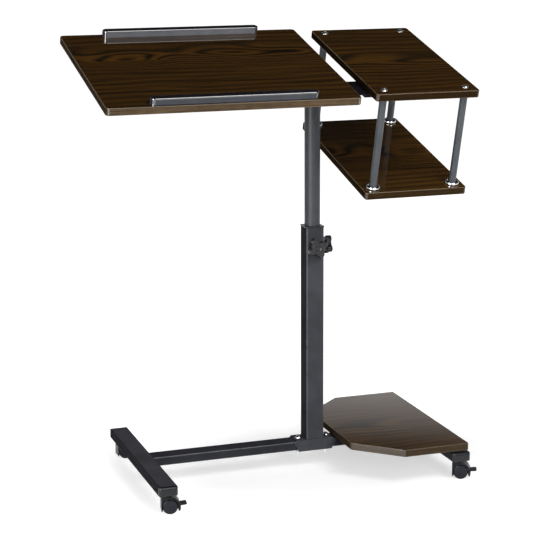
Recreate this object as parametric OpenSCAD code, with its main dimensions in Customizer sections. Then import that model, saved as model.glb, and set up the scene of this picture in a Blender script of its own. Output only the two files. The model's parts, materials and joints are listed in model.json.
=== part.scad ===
// Laptop cart: a tilting wooden top with a double side shelf, on a telescopic column that
// stands on a steel base with a small wooden board and four twin-wheel casters.
// X points right, Y points back and Z points up. The wheels stand on z = 0.

/* [Top] */
// Angle at which the top stands
top_tilt = 15; // [5:1:20]
// Height of the tilt pivot above the floor
pivot_z = 808; // [720:1:880]
// Height of the boards' upper faces above the pivot, square to the boards
pivot_drop = 40; // [38:1:50]
// Width of the main board
board_w = 500; // [420:5:700]
// Depth of the main board
board_d = 405; // [340:5:480]
// Thickness of the main board and the side shelves
board_t = 15; // [12:1:16]
// Corner radius of the main board
board_corner_r = 8; // [4:1:25]
// How far the main board reaches right of the column's axis
board_reach = 26; // [25:1:60]

/* [Stop rails] */
// Length of each rail
rail_l = 330; // [200:5:400]
// Depth of a rail, front to back
rail_d = 18; // [10:1:20]
// Height of a rail above the board
rail_h = 14; // [10:1:25]
// Rounding of a rail's upper edges
rail_round = 3; // [1:0.5:4.5]
// Distance of the front rail from the board's front edge
front_rail_inset = 4; // [2:1:20]
// Distance of the rear rail from the board's rear edge
rear_rail_inset = 4; // [2:1:20]

/* [Side shelf] */
// Gap between the main board and the side shelf
shelf_gap = 35; // [35:1:60]
// Width of the two shelf boards
shelf_w = 218; // [180:2:300]
// Depth of the two shelf boards
shelf_d = 380; // [320:5:400]
// Corner radius of the shelf boards
shelf_corner_r = 6; // [3:1:20]
// Distance from the upper shelf's top face to the lower shelf's top face
shelf_drop = 207; // [150:1:230]
// Diameter of a post
post_d = 15; // [12:0.5:18]
// Distance of the posts from the shelf's left and right edges
post_inset_x = 23; // [20:1:40]
// Distance of the posts from the shelf's front and rear edges
post_inset_y = 22; // [18:1:28]
// Diameter of a post cup at its rim
cup_d = 28; // [26:1:34]
// Diameter of a post cup where it stands on the shelf
cup_foot_d = 20; // [20:1:24]
// Height of a post cup
cup_h = 6; // [6:1:20]

/* [Side arm] */
// Depth of the steel arm that carries the side shelf
arm_d = 70; // [40:1:72]
// Distance of the arm's front edge from the side shelf's front edge
arm_inset = 44; // [38:1:46]
// Thickness of the arm
arm_t = 2.5; // [2:0.5:4]
// Length of the arm under the main board
arm_grip = 115; // [80:5:160]
// Length of the arm under the side shelf
arm_reach = 140; // [110:5:150]
// Thickness of the bar under the arm
arm_bar_t = 5; // [3:0.5:8]

/* [Column] */
// Outer side of the square tube
outer_side = 38; // [38:1:42]
// Wall of the square tube
outer_wall = 1.5; // [1:0.25:1.5]
// Outer corner radius of the square tube
outer_corner_r = 3; // [2:0.5:4]
// Height of the square tube's upper end above the floor
outer_top_z = 511; // [480:1:540]
// Diameter of the round inner tube
inner_d = 32; // [30:0.5:32]
// Wall of the round inner tube
inner_wall = 1.5; // [1.5:0.25:2.5]
// Length of the round inner tube
inner_l = 520; // [440:5:560]
// How far the collar stands above the square tube
collar_t = 2.5; // [1.5:0.5:5]
// How far the collar stands out past the square tube
collar_lip = 1.2; // [0.5:0.1:2]
// How far the collar reaches down into the square tube
collar_depth = 25; // [15:1:30]

/* [Tilt head] */
// Height of the pivot above the inner tube's upper end
head_h = 33; // [30:1:40]
// Inner width of the head bracket
head_inner_w = 45; // [40:1:46]
// Depth of the head bracket
head_d = 34; // [33:1:36]
// Thickness of the head bracket and the tilt bracket
head_t = 3; // [2.5:0.5:3]
// Diameter of the pivot bolt
pivot_d = 10; // [8:0.5:12]
// Radius of the tilt bracket's ears round the pivot
ear_r = 14; // [12:0.5:16]
// Width of an ear where it meets the bracket's plate
ear_root_w = 60; // [40:1:80]
// Distance of the tilt bracket's plate from the arm
bracket_gap = 16; // [14:1:20]
// Reach of the tilt bracket's plate behind the pivot
bracket_back = 60; // [50:1:65]
// Length of the tilt bracket's plate left of the pivot
bracket_l = 104; // [90:1:140]
// Diameter of the tilt knob over its lobes
tilt_knob_d = 34; // [28:1:40]
// Total length of the tilt knob
tilt_knob_l = 15; // [12:1:20]

/* [Clamp knobs] */
// Diameter of a clamp knob over its lobes
knob_d = 43; // [36:1:50]
// Thickness of a clamp knob's head
knob_head_t = 12; // [8:1:14]
// Length of a clamp knob's hub
knob_hub_l = 4; // [4:1:10]
// Diameter of a clamp knob's hub
knob_hub_d = 17; // [14:1:20]
// Diameter of the studs
stud_d = 8; // [6:1:10]
// Diameter of the threaded bosses on the square tube
boss_d = 16; // [14:1:18]
// Length of the threaded bosses
boss_l = 3; // [3:1:10]
// Distance of the clamp knobs below the square tube's upper end
knob_drop = 40; // [36:1:60]

/* [Base] */
// Distance between the two feet, centre to centre
foot_spacing = 620; // [560:5:700]
// Length of a foot with its end caps
foot_l = 408; // [380:2:460]
// Width of the feet and depth of the crossbar
foot_w = 38; // [34:1:45]
// Height of the feet
foot_h = 20; // [20:1:25]
// Height of the crossbar
crossbar_h = 19; // [18:1:20]
// Wall of the feet and the crossbar
foot_wall = 1.5; // [1.5:0.25:2]
// Outer corner radius of the feet and the crossbar
foot_corner_r = 2.5; // [2:0.5:4]
// Height of the tubes' underside above the floor
foot_z = 40; // [40:1:60]
// Distance of the column's axis from the left foot's centre
column_place = 368.5; // [340:0.5:400]
// Length of a foot cap outside its tube
cap_t = 8; // [4:1:12]
// Rounding of a foot cap's outer edges
cap_round = 4; // [1:0.5:5]
// Length of a foot cap inside its tube
cap_plug_l = 10; // [6:1:12]
// Length of the saddle bracket along the crossbar
saddle_l = 80; // [78:1:84]
// Thickness of the saddle bracket
saddle_t = 2.5; // [2:0.5:3]
// How far the saddle's flanges reach below the crossbar
saddle_lap = 2.5; // [0:0.5:4]
// Distance of the saddle bolts from the column's axis
saddle_bolt_x = 30.5; // [28:0.5:32]
// Diameter of the saddle bolts
saddle_bolt_d = 8; // [6:1:8]
// Diameter of the saddle bolts' heads
saddle_head_d = 13; // [12:0.5:13]

/* [Base board] */
// Width of the base board
base_w = 227; // [180:1:229]
// Distance of the base board's front and rear edges from the feet's ends
base_inset = 6; // [2:1:24]
// Thickness of the base board
base_t = 15; // [15:1:20]
// How far the base board reaches right of the right foot's centre
base_reach = 17; // [15:1:25]
// Radius of the base board's corners at its left side
base_left_r = 12; // [2:1:20]
// Radius of its other corners
base_corner_r = 4; // [2:1:10]
// Length of the corner cuts along the board's width
base_cut_w = 86; // [40:1:100]
// Length of the corner cuts along the board's depth
base_cut_d = 81; // [40:1:100]
// Gap between the feet and the base board, taken up by washers
base_gap = 3; // [2:0.5:6]

/* [Casters] */
// Diameter of a wheel
wheel_d = 30; // [28:1:32]
// Width of a wheel
wheel_w = 8.2; // [7:0.1:9]
// Height of the crown on a wheel's outer face
wheel_crown_h = 1.6; // [0.5:0.1:2.5]
// Width of the web between the two wheels
web_w = 9; // [9:0.5:10]
// Distance of a caster's axle from its swivel axis
caster_trail = 7.5; // [6:0.5:10]
// Distance of a swivel axis from the foot's end
caster_inset = 25; // [25:1:40]
// Diameter of a caster's axle
axle_d = 4; // [3:0.5:4]
// Diameter of a stem where it is screwed into the foot
stem_d = 8; // [6:0.5:8]
// Diameter of a stem's pin in the hood
pin_d = 6; // [5:0.5:6]
// Height of the hood's flat top above the floor
hood_top_z = 36; // [34:0.5:36]
// Height of the hood's lower edge above the floor
hood_low_z = 7; // [6:0.5:11]
// Radius of the hood round the axle
hood_r = 20.5; // [20.5:0.5:22]
// Distance of the hood's straight front wall from the swivel axis
hood_front = 10; // [10:0.5:13]
// Reach of a brake lever from the swivel axis
lever_reach = 40.4; // [40:0.1:48]
// Width of a brake lever
lever_w = 14; // [12:1:15]
// Swivel angle at which the left front caster stands
left_caster_turn = -10; // [-90:1:90]
// Swivel angle at which the right front caster stands
right_caster_turn = -25; // [-90:1:90]
// Thickness of a brake lever
lever_t = 4.6; // [3.5:0.1:5]

/* [Fasteners] */
// Diameter of the wood screws under the boards
screw_d = 5; // [4:0.5:5]
// Diameter of their heads
screw_head_d = 9; // [8:0.5:10]
// Height of their heads
screw_head_h = 3; // [2:0.5:3]
// Diameter of the screws in the posts
post_screw_d = 6; // [5:0.5:7]
// Diameter of their dome heads
dome_d = 14; // [12:0.5:16]
// Height of their dome heads
dome_h = 4; // [3:0.5:5]

/* [Hidden] */
$fn = 48;

// Clearances: of a running fit, of a fastener in its hole, and between parts that move past each other
run_gap = 0.05;
seat_gap = 0.1;
part_gap = 0.3;
// Overrun of every cut past the face that it opens
over = 1;

// Top, in its own frame: x right of the column's axis, y back of the pivot, z up from the boards' faces
board_x = board_reach - board_w / 2;
shelf_x = board_reach + shelf_gap + shelf_w / 2;
post_x = shelf_w / 2 - post_inset_x;
post_y = shelf_d / 2 - post_inset_y;
post_l = shelf_drop - board_t;
front_rail_y = -board_d / 2 + front_rail_inset + rail_d / 2;
rear_rail_y = board_d / 2 - rear_rail_inset - rail_d / 2;
arm_y = -shelf_d / 2 + arm_inset + arm_d / 2;
arm_x0 = board_reach - arm_grip;
arm_l = arm_grip + shelf_gap + arm_reach;
arm_bar_overlap = 7;
arm_bar_x0 = board_reach + shelf_gap - arm_bar_overlap;
arm_bar_l = arm_bar_overlap + arm_reach;
arm_z = -board_t - arm_t;

// Column
outer_in = outer_side - 2 * outer_wall;
crossbar_top_z = foot_z + crossbar_h;
outer_foot_z = crossbar_top_z + saddle_t;
inner_r = inner_d / 2;
inner_bore_r = inner_r - inner_wall;
inner_top_z = pivot_z - head_h;
inner_foot_z = inner_top_z - inner_l;
guide_flange_t = 8;
guide_spigot_l = 30;
knob_z = outer_top_z - knob_drop;

// Tilt head, with x measured from the column's axis
ear_x = head_inner_w / 2 - part_gap - head_t;
bracket_edge_w = 2;
bracket_right = ear_x + head_t + bracket_edge_w;
bracket_front = arm_y + arm_d / 2 + bracket_gap;
bracket_screw_inset = 15;
bracket_screw_ys = [bracket_front + bracket_screw_inset, bracket_back - bracket_screw_inset];
bracket_far_share = 0.88;
bolt_head_t = 6.4;
bolt_head_share = 1.8;
pivot_bolt_end = 1;
tilt_knob_hub_l = 4;
tilt_knob_hub_d = 18;

// Knobs: the lobes' tips and the scallops between them are round
lobe_tip_share = 0.33;
knob_waist_share = 0.6;
knob_core_share = 0.82;
scallop_share = 0.38;
knob_lobe_turn = 27;
knob_lobes = 4;
knob_place = outer_side / 2 + boss_l + part_gap;
stud_embed_share = 0.6;
knob_dish_d_share = 0.3;
knob_dish_t = 1.5;

// Base
left_foot_x = -column_place;
right_foot_x = foot_spacing - column_place;
foot_end_y = foot_l / 2 - cap_t;
crossbar_l = foot_spacing - foot_w;
base_d = foot_l - 2 * base_inset;
base_right_x = right_foot_x + base_reach;
base_left_x = base_right_x - base_w;
base_z = foot_z + foot_h + base_gap;
saddle_ear = 6;
saddle_ear_drop = 4;
saddle_head_h = 5;
saddle_bolt_tail = 17;
saddle_nut_w = 13;
saddle_nut_t = 6.5;
washer_d = 16;
screw_bite_share = 0.7;
head_taper_share = 0.8;
drive_share = 0.45;
foot_screw_y = 120;
crossbar_screw_inset = 48;
crossbar_screw_step = 90;
weld_nut_d = 14;
weld_nut_l = 10;

// Casters
wheel_r = wheel_d / 2;
caster_w = web_w + 2 * (wheel_w + part_gap);
axle_z = wheel_r;
wheel_space = 1.3;
web_r = 9;
stem_top_gap = 2;
stem_collar_d = 14;
pin_l = 14;
wheel_skin = 2.2;
caster_y = foot_l / 2 - caster_inset;
lever_pivot_reach = 18.2;
lever_x = caster_trail + lever_pivot_reach;
lever_rise = 3;
lever_z = axle_z + lever_rise;
lever_boss_r = 2.6;
lever_boss_shift = 0.5;
lever_slope = 6;
trunnion_d = 2.4;
trunnion_l = 2.2;
lever_swing_room = 2.2;

// The origin lies on the floor, under the middle of the whole cart
left_end = min(board_x - board_w / 2, left_foot_x - foot_w / 2);
lever_end = lever_reach * cos(right_caster_turn) - lever_w / 2 * sin(right_caster_turn);
right_end = max(right_foot_x + lever_end, shelf_x + shelf_w / 2, base_right_x);
shelf_back_y = shelf_d / 2 * cos(top_tilt) + (shelf_drop + board_t - pivot_drop) * sin(top_tilt);
front_end = -foot_l / 2;
back_end = max(foot_l / 2, shelf_back_y);
column_x = -(left_end + right_end) / 2;
column_y = -(front_end + back_end) / 2;

// Colours, as the object shows them
wood = "#33200f";
wood_base = "#4a3f35";
steel_black = "#3c3c40";
steel_grey = "#55585c";
plastic_black = "#1d1d20";
chrome = "#c8cacc";
zinc = "#a8aaac";

// Places its children in the column's frame: the axis at x = 0, y = 0
module at_column() {
    translate([column_x, column_y, 0])
        children();
}

// Places its children in the top's frame, which leans about the pivot
module on_top() {
    at_column()
        translate([0, 0, pivot_z])
            rotate([top_tilt, 0, 0])
                translate([0, 0, pivot_drop])
                    children();
}

// Rectangle with round corners, about the origin
module rounded_rect(w, d, r) {
    square([w - 2 * r, d], center = true);
    square([w, d - 2 * r], center = true);
    for (x = [-1, 1], y = [-1, 1])
        translate([x * (w / 2 - r), y * (d / 2 - r)])
            circle(r);
}

// Extrudes an outline drawn in x and z along Y, and one drawn in y and z along X
module along_y(l) {
    rotate([90, 0, 0])
        linear_extrude(l, center = true)
            children();
}

module along_x(l) {
    rotate([90, 0, 90])
        linear_extrude(l, center = true)
            children();
}

// Cylinder that points along +X or +Y from the origin
module x_rod(d, l) {
    rotate([0, 90, 0])
        cylinder(d = d, h = l);
}

module y_rod(d, l) {
    rotate([-90, 0, 0])
        cylinder(d = d, h = l);
}

// Board with round corners whose upper face lies at z = 0
module board(w, d, t, r) {
    translate([0, 0, -t])
        linear_extrude(t)
            rounded_rect(w, d, r);
}

// Rectangular tube outline
module tube_outline(w, h, wall, r) {
    difference() {
        rounded_rect(w, h, r);
        rounded_rect(w - 2 * wall, h - 2 * wall, max(r - wall, wall / 2));
    }
}

// Dome of height h on a round base of diameter d
module dome(d, h) {
    ball_r = (d * d / 4 + h * h) / (2 * h);
    intersection() {
        translate([0, 0, h - ball_r])
            sphere(ball_r, $fn = 96);
        cylinder(d = d, h = h);
    }
}

// Screw that points up: its head hangs below z = 0
module screw_up(d, l, head_d, head_h) {
    cylinder(d = d, h = l);
    translate([0, 0, -head_h])
        difference() {
            cylinder(d1 = head_d * head_taper_share, d2 = head_d, h = head_h);
            translate([0, 0, -over])
                cylinder(d = head_d * drive_share, h = head_h / 2 + over, $fn = 6);
        }
}

// Places of the wood screws of each group, in the frame that carries them
function pairs(xs, ys) = [for (x = xs, y = ys) [x, y]];
rail_screw_xs = [-rail_l / 3, rail_l / 3];
arm_screw_ys = [arm_y - arm_d / 4, arm_y + arm_d / 4];
arm_board_xs = [arm_x0 + arm_grip / 6, arm_x0 + arm_grip * 2 / 3];
arm_shelf_xs = [arm_bar_x0 + arm_bar_l / 4, arm_bar_x0 + arm_bar_l * 5 / 6];
bracket_screw_xs = [-bracket_l * bracket_far_share, -bracket_l / 2, ear_x + head_t - screw_head_d];
post_places = pairs([-post_x, post_x], [-post_y, post_y]);
foot_screws = [[right_foot_x, -foot_screw_y], [right_foot_x, foot_screw_y]];
crossbar_screws = [for (k = [0, 1]) [base_left_x + crossbar_screw_inset + k * crossbar_screw_step, 0]];

// Round holes for wood screws, drilled up into a board from its underside at z = z0
module screw_holes(places, z0, depth) {
    for (p = places)
        translate([p[0], p[1], z0 - over])
            cylinder(d = screw_d + 2 * seat_gap, h = depth + over);
}

bite = board_t * screw_bite_share;

module main_board() {
    color(wood) on_top() difference() {
        translate([board_x, 0, 0])
            board(board_w, board_d, board_t, board_corner_r);
        screw_holes(pairs(arm_board_xs, arm_screw_ys), -board_t, bite);
        screw_holes(pairs(bracket_screw_xs, bracket_screw_ys), -board_t, bite);
        translate([board_x, 0, 0])
            screw_holes(pairs(rail_screw_xs, [front_rail_y, rear_rail_y]), -board_t, board_t + over);
    }
}

// Right half of a rail's section: its upper corner is round
module rail_half_section() {
    square([rail_d / 2, rail_h - rail_round]);
    square([rail_d / 2 - rail_round, rail_h]);
    translate([rail_d / 2 - rail_round, rail_h - rail_round])
        circle(rail_round);
}

// Straight bar between two half-round ends
module rail(y) {
    straight_l = rail_l - rail_d;
    color(plastic_black) on_top() translate([board_x, y, 0]) difference() {
        union() {
            along_x(straight_l) {
                rail_half_section();
                mirror([1, 0])
                    rail_half_section();
            }
            for (s = [-1, 1])
                translate([s * straight_l / 2, 0, 0])
                    rotate_extrude()
                        rail_half_section();
        }
        screw_holes(pairs(rail_screw_xs, [0]), 0, rail_h * screw_bite_share);
    }
}

module front_stop_rail() {
    rail(front_rail_y);
}

module rear_stop_rail() {
    rail(rear_rail_y);
}

module rail_screws() {
    color(zinc) on_top() for (p = pairs(rail_screw_xs, [front_rail_y, rear_rail_y]))
        translate([board_x + p[0], p[1], -board_t])
            screw_up(screw_d, board_t + rail_h / 2, screw_head_d, screw_head_h);
}

module upper_shelf() {
    color(wood) on_top() difference() {
        translate([shelf_x, 0, 0])
            board(shelf_w, shelf_d, board_t, shelf_corner_r);
        translate([shelf_x, 0, 0])
            post_holes(0);
        screw_holes(pairs(arm_shelf_xs, arm_screw_ys), -board_t, bite);
    }
}

module lower_shelf() {
    color(wood) on_top() translate([shelf_x, 0, 0]) difference() {
        translate([0, 0, -shelf_drop])
            board(shelf_w, shelf_d, board_t, shelf_corner_r);
        post_holes(-shelf_drop);
    }
}

// Holes for the post screws through a board whose upper face lies at z = top_z
module post_holes(top_z) {
    for (p = post_places)
        translate([p[0], p[1], top_z - board_t - over])
            cylinder(d = post_screw_d + 2 * seat_gap, h = board_t + 2 * over);
}

post_screw_bite = 20;

module post(x, y) {
    color(steel_grey) on_top() translate([shelf_x + x, y, -shelf_drop]) difference() {
        cylinder(d = post_d, h = post_l);
        for (z = [-over, post_l - post_screw_bite])
            translate([0, 0, z])
                cylinder(d = post_screw_d + 2 * seat_gap, h = post_screw_bite + over);
    }
}

module post_front_left() {
    post(-post_x, -post_y);
}

module post_front_right() {
    post(post_x, -post_y);
}

module post_back_left() {
    post(-post_x, post_y);
}

module post_back_right() {
    post(post_x, post_y);
}

// Each cup is a bowl with a wide rim, whose foot stands on the lower shelf
module post_cups() {
    rim_h = cup_h / 6;
    color(chrome) on_top() for (p = post_places)
        translate([shelf_x + p[0], p[1], -shelf_drop]) difference() {
            union() {
                cylinder(d1 = cup_foot_d, d2 = cup_d, h = cup_h - rim_h);
                translate([0, 0, cup_h - rim_h])
                    cylinder(d1 = cup_d, d2 = cup_d - rim_h, h = rim_h);
            }
            translate([0, 0, -over])
                cylinder(d = post_d + 2 * seat_gap, h = cup_h + 2 * over);
            translate([0, 0, cup_h / 2])
                cylinder(d1 = post_d + 2 * seat_gap, d2 = cup_d - 2 * rim_h, h = cup_h / 2 + run_gap);
        }
}

module shelf_top_screws() {
    color(chrome) on_top() for (p = post_places)
        translate([shelf_x + p[0], p[1], 0]) {
            dome(dome_d, dome_h);
            translate([0, 0, -board_t - post_screw_bite * screw_bite_share])
                cylinder(d = post_screw_d, h = board_t + post_screw_bite * screw_bite_share);
        }
}

module shelf_bottom_screws() {
    color(zinc) on_top() for (p = post_places)
        translate([shelf_x + p[0], p[1], -shelf_drop - board_t])
            screw_up(post_screw_d, board_t + post_screw_bite * screw_bite_share, dome_d, dome_h);
}

module side_arm() {
    color(plastic_black) on_top() difference() {
        translate([arm_x0, arm_y - arm_d / 2, arm_z])
            cube([arm_l, arm_d, arm_t]);
        screw_holes(pairs(arm_board_xs, arm_screw_ys), arm_z, arm_t + over);
        screw_holes(pairs(arm_shelf_xs, arm_screw_ys), arm_z, arm_t + over);
    }
}

module side_arm_bar() {
    color(plastic_black) on_top() difference() {
        translate([arm_bar_x0, arm_y - arm_d / 2, arm_z - arm_bar_t])
            cube([arm_bar_l, arm_d, arm_bar_t]);
        screw_holes(pairs(arm_shelf_xs, arm_screw_ys), arm_z - arm_bar_t, arm_bar_t + over);
    }
}

module side_arm_screws() {
    color(zinc) on_top() {
        for (p = pairs(arm_board_xs, arm_screw_ys))
            translate([p[0], p[1], arm_z])
                screw_up(screw_d, arm_t + bite - seat_gap, screw_head_d, screw_head_h);
        for (p = pairs(arm_shelf_xs, arm_screw_ys))
            translate([p[0], p[1], arm_z - arm_bar_t])
                screw_up(screw_d, arm_bar_t + arm_t + bite - seat_gap, screw_head_d, screw_head_h);
    }
}

// Plate under the main board with two ears that hang down to the pivot
module tilt_bracket() {
    ear_top = -board_t - head_t;
    color(steel_black) on_top() difference() {
        union() {
            translate([-bracket_l, bracket_front, -board_t - head_t])
                cube([bracket_l + bracket_right, bracket_back - bracket_front, head_t]);
            for (x = [-ear_x - head_t, ear_x])
                translate([x + head_t / 2, 0, 0])
                    along_x(head_t) {
                        polygon([
                            [-ear_root_w / 2, ear_top], [-ear_r, -pivot_drop],
                            [ear_r, -pivot_drop], [ear_root_w / 2, ear_top]
                        ]);
                        translate([0, -pivot_drop])
                            circle(ear_r);
                    }
        }
        translate([-head_inner_w / 2, 0, -pivot_drop])
            x_rod(pivot_d + 2 * run_gap, head_inner_w);
        screw_holes(pairs(bracket_screw_xs, bracket_screw_ys), -board_t - head_t, head_t + over);
    }
}

module tilt_bracket_screws() {
    color(zinc) on_top() for (p = pairs(bracket_screw_xs, bracket_screw_ys))
        translate([p[0], p[1], -board_t - head_t])
            screw_up(screw_d, head_t + bite - seat_gap, screw_head_d, screw_head_h);
}

// Yoke on the inner tube: a plate with two cheeks that hold the pivot bolt
module head_bracket() {
    color(steel_black) at_column() difference() {
        union() {
            translate([-head_inner_w / 2 - head_t, -head_d / 2, inner_top_z])
                cube([head_inner_w + 2 * head_t, head_d, head_t]);
            for (s = [-1, 1])
                translate([s * (head_inner_w + head_t) / 2, 0, 0])
                    along_x(head_t) {
                        translate([-head_d / 2, inner_top_z])
                            square([head_d, head_h]);
                        translate([0, pivot_z])
                            circle(d = head_d);
                    }
        }
        translate([-head_inner_w / 2 - head_t - over, 0, pivot_z])
            x_rod(pivot_d + 2 * seat_gap, head_inner_w + 2 * head_t + 2 * over);
    }
}

module pivot_bolt() {
    head_x = -head_inner_w / 2 - head_t;
    shank = head_inner_w + 2 * head_t + part_gap + tilt_knob_l - pivot_bolt_end;
    color(zinc) at_column() translate([head_x, 0, pivot_z]) {
        x_rod(pivot_d, shank);
        translate([-bolt_head_t, 0, 0])
            rotate([0, 90, 0])
                cylinder(d = pivot_d * bolt_head_share, h = bolt_head_t, $fn = 6);
    }
}

// Outline of a knob's head: round lobes with scallops between them
module lobed_outline(d) {
    tip_r = d / 2 * lobe_tip_share;
    waist_r = d / 2 * knob_waist_share;
    scallop_r = d / 2 * scallop_share;
    difference() {
        union() {
            circle(d / 2 * knob_core_share);
            for (k = [0 : knob_lobes - 1])
                rotate(k * 360 / knob_lobes)
                    translate([d / 2 - tip_r, 0])
                        circle(tip_r);
        }
        for (k = [0 : knob_lobes - 1])
            rotate((k + 0.5) * 360 / knob_lobes)
                translate([waist_r + scallop_r, 0])
                    circle(scallop_r);
    }
}

// Knob that points up from z = 0: a round hub, then the lobed head with a dish in its face
module knob(d, hub_d, hub_l, head_t, bore_d, bore_l) {
    difference() {
        union() {
            cylinder(d = hub_d, h = hub_l + over);
            translate([0, 0, hub_l])
                linear_extrude(head_t)
                    lobed_outline(d);
        }
        translate([0, 0, hub_l + head_t - knob_dish_t])
            cylinder(d = d * knob_dish_d_share, h = knob_dish_t + over);
        translate([0, 0, -over])
            cylinder(d = bore_d, h = bore_l + over);
    }
}

// Turns a knob or stud that points up so that it points out of the front or the right face
module facing_front() {
    rotate([90, 0, 0])
        children();
}

module facing_right() {
    rotate([90, 0, 90])
        children();
}

knob_bore_l = (knob_hub_l + knob_head_t) * stud_embed_share;
stud_l = knob_place - inner_r - part_gap + knob_bore_l;

module clamp_knob() {
    translate([0, 0, knob_place])
        rotate(knob_lobe_turn)
            knob(knob_d, knob_hub_d, knob_hub_l, knob_head_t, stud_d + 2 * run_gap, knob_bore_l);
}

module clamp_stud() {
    translate([0, 0, inner_r + part_gap])
        cylinder(d = stud_d, h = stud_l);
}

module front_knob() {
    color(plastic_black) at_column() translate([0, 0, knob_z])
        facing_front() clamp_knob();
}

module front_knob_stud() {
    color(zinc) at_column() translate([0, 0, knob_z])
        facing_front() clamp_stud();
}

module side_knob() {
    color(plastic_black) at_column() translate([0, 0, knob_z])
        facing_right() clamp_knob();
}

module side_knob_stud() {
    color(zinc) at_column() translate([0, 0, knob_z])
        facing_right() clamp_stud();
}

// The tilt knob's bore turns on the pivot bolt's end
module tilt_knob() {
    color(plastic_black) at_column() translate([head_inner_w / 2 + head_t + part_gap, 0, pivot_z])
        facing_right() knob(tilt_knob_d, tilt_knob_hub_d, tilt_knob_hub_l, tilt_knob_l - tilt_knob_hub_l,
            pivot_d + 2 * run_gap, tilt_knob_l);
}

module clamp_bosses() {
    color(steel_black) at_column() translate([0, 0, knob_z]) {
        facing_front() clamp_boss();
        facing_right() clamp_boss();
    }
}

module clamp_boss() {
    translate([0, 0, outer_side / 2])
        difference() {
            cylinder(d = boss_d, h = boss_l);
            translate([0, 0, -over])
                cylinder(d = stud_d + 2 * run_gap, h = boss_l + 2 * over);
        }
}

module outer_tube() {
    color(steel_black) at_column() difference() {
        translate([0, 0, outer_foot_z])
            linear_extrude(outer_top_z - outer_foot_z)
                tube_outline(outer_side, outer_side, outer_wall, outer_corner_r);
        translate([0, 0, knob_z]) {
            facing_front() stud_hole();
            facing_right() stud_hole();
        }
    }
}

module stud_hole() {
    translate([0, 0, inner_r])
        cylinder(d = stud_d + 2 * part_gap, h = outer_side / 2);
}

// Plastic bush in the square tube's mouth: the inner tube slides and turns in it
module top_collar() {
    lip_side = outer_side + 2 * collar_lip;
    color(plastic_black) at_column() difference() {
        union() {
            translate([0, 0, outer_top_z])
                linear_extrude(collar_t)
                    rounded_rect(lip_side, lip_side, outer_corner_r + collar_lip);
            translate([0, 0, outer_top_z - collar_depth])
                linear_extrude(collar_depth)
                    rounded_rect(outer_in - 2 * seat_gap, outer_in - 2 * seat_gap, outer_wall);
        }
        translate([0, 0, outer_top_z - collar_depth - over])
            cylinder(d = inner_d + 2 * run_gap, h = collar_depth + collar_t + 2 * over);
    }
}

module inner_tube() {
    color(steel_grey) at_column() translate([0, 0, inner_foot_z]) difference() {
        cylinder(r = inner_r, h = inner_l);
        translate([0, 0, -over])
            cylinder(r = inner_bore_r, h = inner_l + 2 * over);
    }
}

// Square block that slides in the square tube; the inner tube turns on its spigot
module guide_plug() {
    side = outer_in - 2 * part_gap;
    color(plastic_black) at_column() translate([0, 0, inner_foot_z]) {
        translate([0, 0, -guide_flange_t - part_gap])
            linear_extrude(guide_flange_t)
                rounded_rect(side, side, outer_wall);
        translate([0, 0, -part_gap - over])
            cylinder(r = inner_bore_r - run_gap, h = guide_spigot_l + part_gap + over);
    }
}

// Foot tube along Y with a weld nut at each caster stem
module foot_tube(x) {
    tube_z = foot_z + foot_h / 2;
    color(steel_black) at_column() difference() {
        union() {
            translate([x, 0, tube_z])
                along_y(2 * foot_end_y)
                    tube_outline(foot_w, foot_h, foot_wall, foot_corner_r);
            for (s = [-1, 1])
                translate([x, s * caster_y, foot_z + foot_wall / 2])
                    cylinder(d = weld_nut_d, h = weld_nut_l, $fn = 6);
        }
        for (s = [-1, 1])
            translate([x, s * caster_y, foot_z - over])
                cylinder(d = stem_d + 2 * seat_gap, h = foot_wall + weld_nut_l + 2 * over);
        if (x > 0)
            for (p = foot_screws)
                translate([p[0], p[1], foot_z - over])
                    cylinder(d = screw_d + 2 * seat_gap, h = foot_h + 2 * over);
    }
}

module left_foot_tube() {
    foot_tube(left_foot_x);
}

module right_foot_tube() {
    foot_tube(right_foot_x);
}

// Cap with a rounded outer face and a plug that fills the tube's end
module foot_cap() {
    along_z_r = foot_corner_r;
    translate([0, 0, foot_z + foot_h / 2]) {
        intersection() {
            translate([0, cap_t / 2, 0])
                along_y(cap_t)
                    rounded_rect(foot_w, foot_h, along_z_r);
            translate([-foot_w / 2, 0, 0])
                rotate([90, 0, 90])
                    linear_extrude(foot_w)
                        cap_profile();
        }
        translate([0, -cap_plug_l / 2, 0])
            along_y(cap_plug_l)
                rounded_rect(foot_w - 2 * (foot_wall + seat_gap), foot_h - 2 * (foot_wall + seat_gap),
                    foot_wall);
    }
}

// Side outline of a cap's head, in y and z
module cap_profile() {
    translate([0, -foot_h / 2])
        square([cap_t - cap_round, foot_h]);
    translate([0, -foot_h / 2 + cap_round])
        square([cap_t, foot_h - 2 * cap_round]);
    for (s = [-1, 1])
        translate([cap_t - cap_round, s * (foot_h / 2 - cap_round)])
            circle(cap_round);
}

module foot_end_caps() {
    color(plastic_black) at_column() for (x = [left_foot_x, right_foot_x], s = [0, 1])
        translate([x, 0, 0])
            mirror([0, s, 0])
                translate([0, foot_end_y, 0])
                    foot_cap();
}

module crossbar() {
    mid_x = (left_foot_x + right_foot_x) / 2;
    color(steel_black) at_column() difference() {
        translate([mid_x, 0, foot_z + crossbar_h / 2])
            along_x(crossbar_l)
                tube_outline(foot_w, crossbar_h, foot_wall, foot_corner_r);
        for (x = [-saddle_bolt_x, saddle_bolt_x])
            translate([x, 0, foot_z - over])
                cylinder(d = saddle_bolt_d + 2 * seat_gap, h = crossbar_h + 2 * over);
        for (p = crossbar_screws)
            translate([p[0], p[1], foot_z - over])
                cylinder(d = screw_d + 2 * seat_gap, h = crossbar_h + 2 * over);
    }
}

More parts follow.
